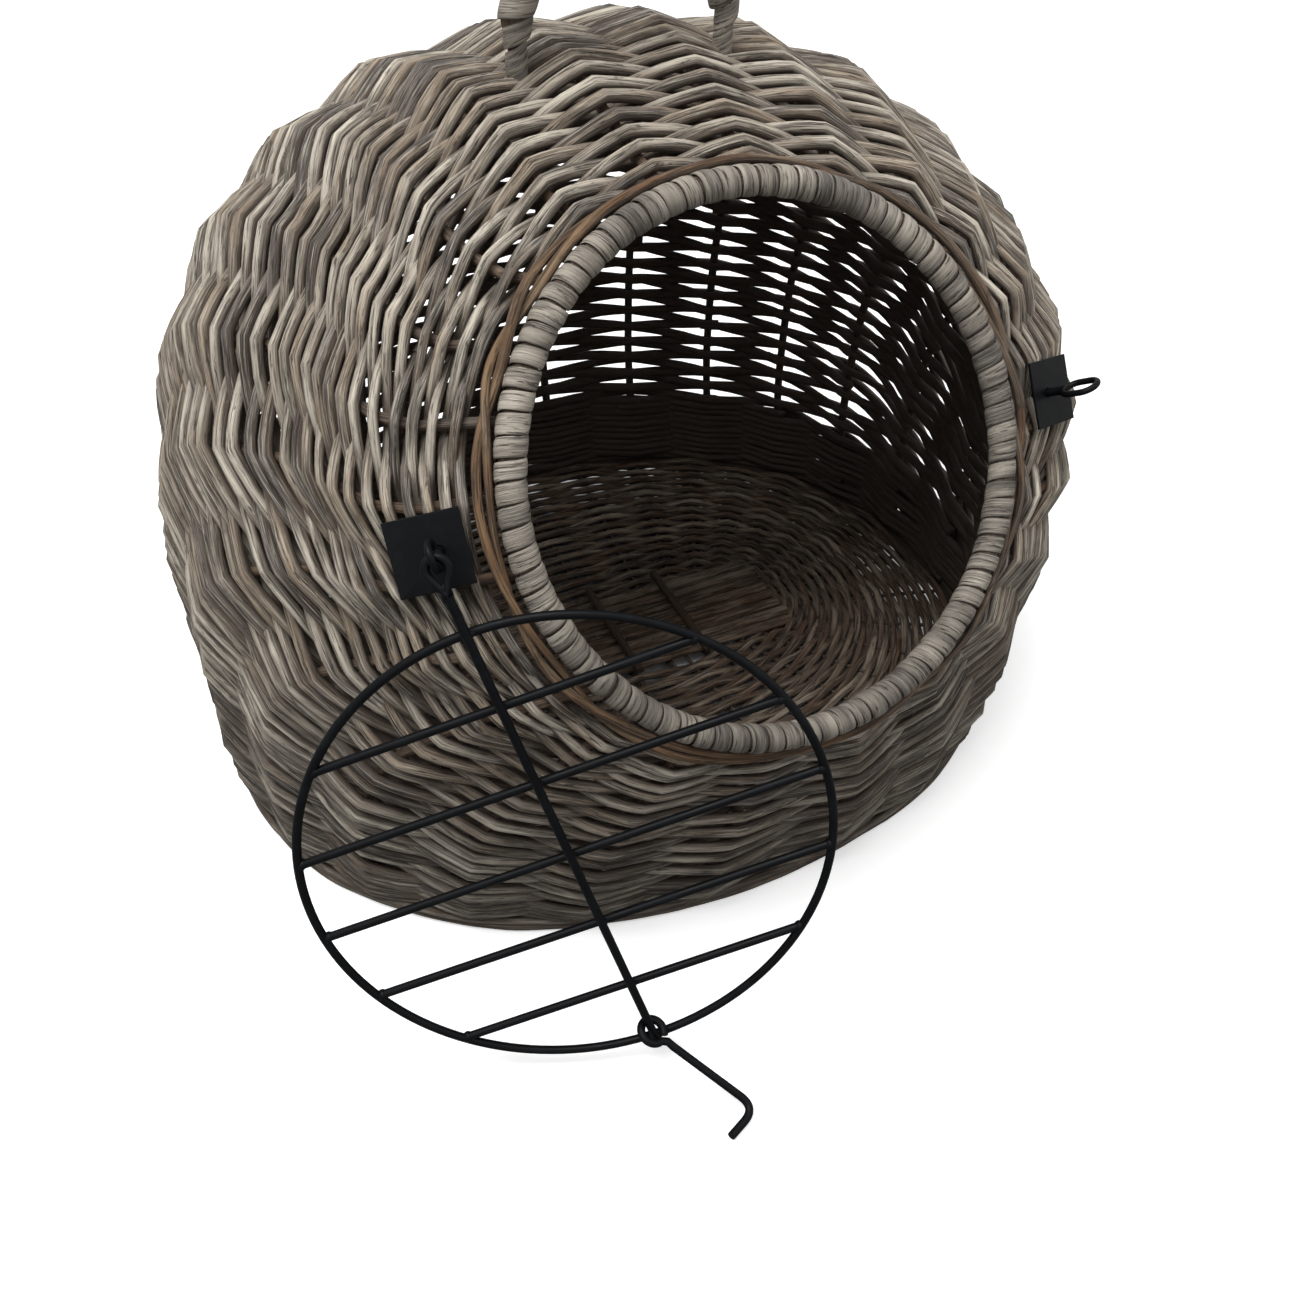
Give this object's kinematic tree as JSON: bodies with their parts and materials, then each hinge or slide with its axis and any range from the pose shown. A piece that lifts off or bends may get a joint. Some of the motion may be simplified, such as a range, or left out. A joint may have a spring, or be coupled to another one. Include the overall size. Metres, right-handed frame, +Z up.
{
  "type": "pet carrier",
  "caption": "Woven willow pet carrier with a tilted round mouth, a bound rim, a carrying handle and a hinged wire door with a loose hook.",
  "frame": {"origin": "middle of the underside of the base", "axes": "+Z up, the mouth faces -Y, +X to the right of someone who looks into the mouth"},
  "size_m": [0.496, 0.5505, 0.4341],
  "materials": {
    "grey_willow": "weathered grey willow rods, matt",
    "dark_willow": "dark stained willow, matt",
    "split_willow": "pale split willow binding, slight sheen",
    "brown_willow": "warm brown willow bark, matt",
    "black_paint": "black paint on steel, satin"
  },
  "bodies": {
    "basket": {"stake_01": "dark_willow", "stake_02": "dark_willow", "stake_03": "dark_willow", "stake_04": "dark_willow", "stake_05": "dark_willow", "stake_06": "dark_willow", "stake_07": "dark_willow", "stake_08": "dark_willow", "stake_09": "dark_willow", "stake_10": "dark_willow", "stake_11": "dark_willow", "stake_12": "dark_willow", "stake_13": "dark_willow", "stake_14": "dark_willow", "stake_15": "dark_willow", "stake_16": "dark_willow", "stake_17": "dark_willow", "stake_18": "dark_willow", "stake_19": "dark_willow", "stake_20": "dark_willow", "stake_21": "dark_willow", "stake_22": "dark_willow", "stake_23": "dark_willow", "stake_24": "dark_willow", "floor_weave": "dark_willow", "floor_cross_stick_1": "dark_willow", "floor_cross_stick_2": "dark_willow", "floor_cross_stick_3": "dark_willow", "weave_course_01": "grey_willow", "weave_course_02": "grey_willow", "weave_course_03": "grey_willow", "weave_course_04": "grey_willow", "weave_course_05": "grey_willow", "weave_course_06": "grey_willow", "weave_course_07": "grey_willow", "weave_course_08": "grey_willow", "weave_course_09": "grey_willow", "weave_course_10": "grey_willow", "foot_border": "grey_willow", "floor_long_sticks": "grey_willow", "rim_hoop": "split_willow", "handle_bow": "split_willow", "rim_edge_rod_inner": "brown_willow", "rim_edge_rod_outer": "brown_willow", "left_plate": "black_paint", "right_plate": "black_paint", "left_inner_washer": "black_paint", "right_inner_washer": "black_paint", "right_eye": "black_paint"},
    "left_eye": {"left_eye": "black_paint"},
    "door": {"door_ring": "black_paint", "door_centre_bar": "black_paint", "door_crossbar_1": "black_paint", "door_crossbar_2": "black_paint", "door_crossbar_3": "black_paint", "door_crossbar_4": "black_paint", "door_crossbar_5": "black_paint"},
    "hook": {"door_hook": "black_paint"}
  },
  "joints": [
    {"name": "eye_turn", "type": "hinge", "parent": "basket", "child": "left_eye", "pos_m": [-0.1565, -0.17995, 0.26068], "axis": [-0.3318, -0.7794, 0.5315], "range_deg": [0, 82.3]},
    {"name": "door_lift", "type": "hinge", "parent": "left_eye", "child": "door", "pos_m": [-0.1565, -0.17995, 0.26068], "axis": [-0.9233, 0.2333, -0.3052], "range_deg": [0, 75]},
    {"name": "hook_swing", "type": "hinge", "parent": "door", "child": "hook", "pos_m": [-0.10196, -0.27272, 0.02478], "axis": [0.2157, -0.3428, -0.9143], "range_deg": [0, 110]}
  ]
}
